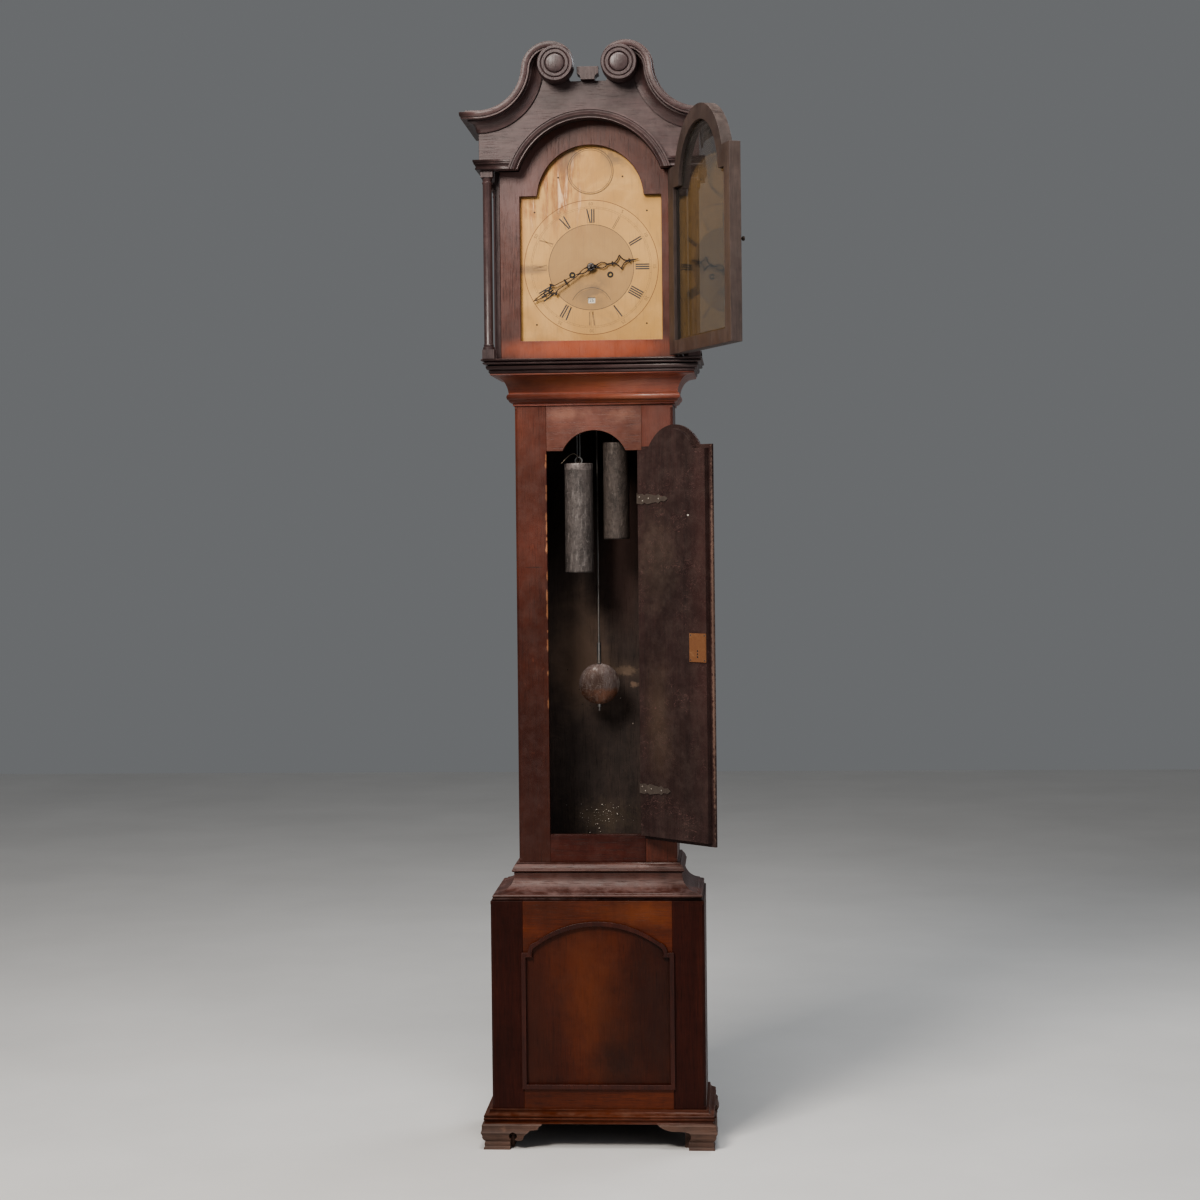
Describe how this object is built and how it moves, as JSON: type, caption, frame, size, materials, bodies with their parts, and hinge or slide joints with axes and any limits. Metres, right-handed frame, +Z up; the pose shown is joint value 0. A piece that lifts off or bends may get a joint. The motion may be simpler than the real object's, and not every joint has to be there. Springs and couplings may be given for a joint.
{
  "type": "longcase clock",
  "caption": "Mahogany longcase clock with swan-neck hood, free-standing columns, brass break-arch dial, arched trunk door and panelled base, both doors open.",
  "frame": {"origin": "on the floor, in the middle of the backboard's rear face", "axes": "+Z up, the dial faces -Y, +X is the clock's right-hand side as seen from the front"},
  "size_m": [0.5786, 0.5893, 2.2635],
  "materials": {
    "mahogany_dark": "old polished mahogany",
    "mahogany_red": "old polished mahogany",
    "mahogany_dusty": "worn and dusty mahogany",
    "secondary_wood": "unfinished oak and pine",
    "dial_brass": "stained brass",
    "movement_brass": "dull brass",
    "fitting_brass": "tarnished brass",
    "steel": "dull steel",
    "blued_steel": "blued steel",
    "lead": "rough lead",
    "bell_metal": "bell metal",
    "silvered": "silvered ring with dark figures",
    "gut": "wire line",
    "glass": "thin old glass"
  },
  "bodies": {
    "case": {"foot_front_right": "mahogany_dusty", "foot_front_left": "mahogany_dusty", "rear_feet": "mahogany_dusty", "plinth_moulding": "mahogany_dusty", "base_stiles": "mahogany_dark", "base_rails": "mahogany_red", "base_panel": "mahogany_dark", "base_panel_moulding": "mahogany_red", "base_sides": "mahogany_dark", "base_boards": "secondary_wood", "backboard": "secondary_wood", "waist_moulding": "mahogany_dusty", "trunk_stiles": "mahogany_red", "trunk_top_rail": "mahogany_red", "trunk_bottom_rail": "mahogany_red", "trunk_sides": "mahogany_dark", "throat_moulding": "mahogany_dusty", "trunk_hinge_plates": "fitting_brass", "dial_plate": "dial_brass", "movement_plates": "movement_brass", "movement_pillars": "movement_brass", "seatboard": "secondary_wood", "left_line": "gut", "right_line": "gut", "bell": "bell_metal"},
    "hood": {"hood_base_frame": "mahogany_dusty", "hood_sides": "mahogany_dusty", "hood_roof": "secondary_wood", "mask_frame": "mahogany_red", "tympanum": "mahogany_dusty", "arch_moulding": "mahogany_dusty", "swan_necks": "mahogany_dusty", "rosettes": "mahogany_dusty", "finial_block": "mahogany_dusty", "columns": "mahogany_dusty", "hood_door_pivots": "steel"},
    "hood_door": {"hood_door_frame": "mahogany_red", "hood_door_glass": "glass", "hood_door_knob": "fitting_brass"},
    "trunk_door": {"trunk_door": "mahogany_dark", "trunk_door_straps": "fitting_brass", "trunk_lock": "fitting_brass"},
    "minute_hand": {"minute_hand": "blued_steel"},
    "hour_hand": {"hour_hand": "blued_steel"},
    "minute_wheel": {"minute_wheel": "movement_brass"},
    "calendar_ring": {"calendar_ring": "silvered"},
    "great_wheel": {"going_great_wheel": "movement_brass"},
    "centre_arbor": {"centre_arbor": "movement_brass"},
    "third_arbor": {"third_arbor": "movement_brass"},
    "escape_arbor": {"escape_arbor": "movement_brass"},
    "anchor": {"anchor_crutch": "steel"},
    "pendulum": {"pendulum_rod": "steel", "pendulum_bob": "lead"},
    "going_barrel": {"going_barrel": "movement_brass"},
    "strike_barrel": {"strike_barrel": "movement_brass"},
    "left_weight": {"left_weight": "lead", "left_pulley": "movement_brass"},
    "right_weight": {"right_weight": "lead", "right_pulley": "movement_brass"},
    "hammer": {"bell_hammer": "steel"}
  },
  "joints": [
    {"name": "hood_slide", "type": "slide", "parent": "case", "child": "hood", "axis": [0, -1, 0], "range_m": [0, 0.3]},
    {"name": "hood_door_hinge", "type": "hinge", "parent": "hood", "child": "hood_door", "pos_m": [0.179, -0.2405, 1.81], "axis": [0, 0, 1], "range_deg": [-110, 15]},
    {"name": "trunk_door_hinge", "type": "hinge", "parent": "case", "child": "trunk_door", "pos_m": [0.0985, -0.1895, 1], "axis": [0, 0, 1], "range_deg": [-137, 30]},
    {"name": "minute_hand_turn", "type": "hinge", "parent": "case", "child": "minute_hand", "pos_m": [0, -0.14, 1.808], "axis": [0, 1, 0], "continuous": true},
    {"name": "hour_hand_turn", "type": "hinge", "parent": "case", "child": "hour_hand", "pos_m": [0, -0.14, 1.808], "axis": [0, 1, 0], "continuous": true},
    {"name": "minute_wheel_turn", "type": "hinge", "parent": "case", "child": "minute_wheel", "pos_m": [0, -0.14, 1.7792], "axis": [0, 1, 0], "continuous": true},
    {"name": "calendar_turn", "type": "hinge", "parent": "case", "child": "calendar_ring", "pos_m": [0, -0.14, 1.808], "axis": [0, 1, 0], "continuous": true},
    {"name": "escape_turn", "type": "hinge", "parent": "case", "child": "escape_arbor", "pos_m": [0, -0.14, 1.85085], "axis": [0, 1, 0], "continuous": true},
    {"name": "third_turn", "type": "hinge", "parent": "case", "child": "third_arbor", "pos_m": [0.019, -0.14, 1.83199], "axis": [0, 1, 0], "continuous": true},
    {"name": "centre_turn", "type": "hinge", "parent": "case", "child": "centre_arbor", "pos_m": [0, -0.14, 1.808], "axis": [0, 1, 0], "continuous": true},
    {"name": "great_turn", "type": "hinge", "parent": "case", "child": "great_wheel", "pos_m": [0.0392, -0.14, 1.7923], "axis": [0, 1, 0], "continuous": true},
    {"name": "pendulum_swing", "type": "hinge", "parent": "case", "child": "pendulum", "pos_m": [0, -0.14, 1.88479], "axis": [0, 1, 0], "range_deg": [-3, 3]},
    {"name": "anchor_rock", "type": "hinge", "parent": "case", "child": "anchor", "pos_m": [0, -0.14, 1.88479], "axis": [0, 1, 0], "range_deg": [-3.2, 3.2]},
    {"name": "left_weight_fall", "type": "slide", "parent": "case", "child": "left_weight", "axis": [0, 0, 1], "range_m": [-1.06, 0.15], "deforming": ["left_line"]},
    {"name": "strike_barrel_turn", "type": "hinge", "parent": "case", "child": "strike_barrel", "pos_m": [-0.0392, -0.14, 1.7923], "axis": [0, 1, 0], "range_deg": [-700, 4700]},
    {"name": "right_weight_fall", "type": "slide", "parent": "case", "child": "right_weight", "axis": [0, 0, 1], "range_m": [-1.06, 0.15], "deforming": ["right_line"]},
    {"name": "going_barrel_turn", "type": "hinge", "parent": "case", "child": "going_barrel", "pos_m": [0.0392, -0.14, 1.7923], "axis": [0, 1, 0], "range_deg": [-700, 4700]},
    {"name": "hammer_swing", "type": "hinge", "parent": "case", "child": "hammer", "pos_m": [-0.04, -0.14, 1.876], "axis": [0, 1, 0], "range_deg": [-14, 0]}
  ],
  "couplings": [
    {"joint": "hour_hand_turn", "follows": "minute_hand_turn", "ratio": 0.083333},
    {"joint": "minute_wheel_turn", "follows": "minute_hand_turn", "ratio": -1},
    {"joint": "third_turn", "follows": "escape_turn", "ratio": -0.125},
    {"joint": "centre_turn", "follows": "escape_turn", "ratio": 0.016667},
    {"joint": "great_turn", "follows": "escape_turn", "ratio": -0.0013889},
    {"joint": "anchor_rock", "follows": "pendulum_swing", "ratio": 1},
    {"joint": "strike_barrel_turn", "follows": "left_weight_fall", "rad_per_m": -76.628},
    {"joint": "going_barrel_turn", "follows": "right_weight_fall", "rad_per_m": -76.628}
  ]
}
